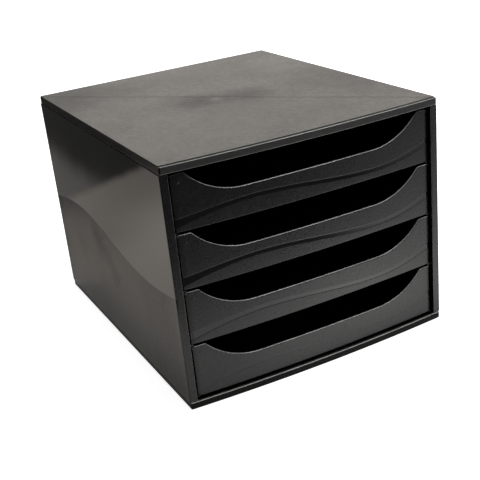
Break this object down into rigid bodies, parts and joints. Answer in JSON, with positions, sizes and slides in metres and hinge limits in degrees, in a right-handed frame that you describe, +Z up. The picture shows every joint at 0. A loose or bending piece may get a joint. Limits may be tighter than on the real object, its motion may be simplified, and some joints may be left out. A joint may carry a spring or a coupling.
{
  "type": "letter tray stack with drawers",
  "caption": "Desktop letter drawer stack: a closed casing with a bowed front and open-scooped drawers that slide out on moulded runners.",
  "frame": {"origin": "middle of the footprint, at the height of the desk that the feet stand on", "axes": "+X to the right seen from the front, +Y from the front to the back, +Z up; the drawers open towards -Y"},
  "size_m": [0.286, 0.34, 0.234],
  "materials": {
    "casing": "fine grained, satin",
    "side": "gloss with a stepped wave",
    "drawer": "satin with a sunk wave",
    "foot": "matte"
  },
  "bodies": {
    "casing": {"top_panel": "casing", "base_panel": "casing", "left_side_panel": "side", "right_side_panel": "side", "back_panel": "casing", "foot_front_left": "foot", "foot_front_right": "foot", "foot_rear_left": "foot", "foot_rear_right": "foot"},
    "drawer_1": {"drawer_1": "drawer"},
    "drawer_2": {"drawer_2": "drawer"},
    "drawer_3": {"drawer_3": "drawer"},
    "drawer_4": {"drawer_4": "drawer"}
  },
  "joints": [
    {"name": "drawer_1_slide", "type": "slide", "parent": "casing", "child": "drawer_1", "axis": [0, -1, 0], "range_m": [0, 0.25]},
    {"name": "drawer_2_slide", "type": "slide", "parent": "casing", "child": "drawer_2", "axis": [0, -1, 0], "range_m": [0, 0.25]},
    {"name": "drawer_3_slide", "type": "slide", "parent": "casing", "child": "drawer_3", "axis": [0, -1, 0], "range_m": [0, 0.25]},
    {"name": "drawer_4_slide", "type": "slide", "parent": "casing", "child": "drawer_4", "axis": [0, -1, 0], "range_m": [0, 0.25]}
  ]
}
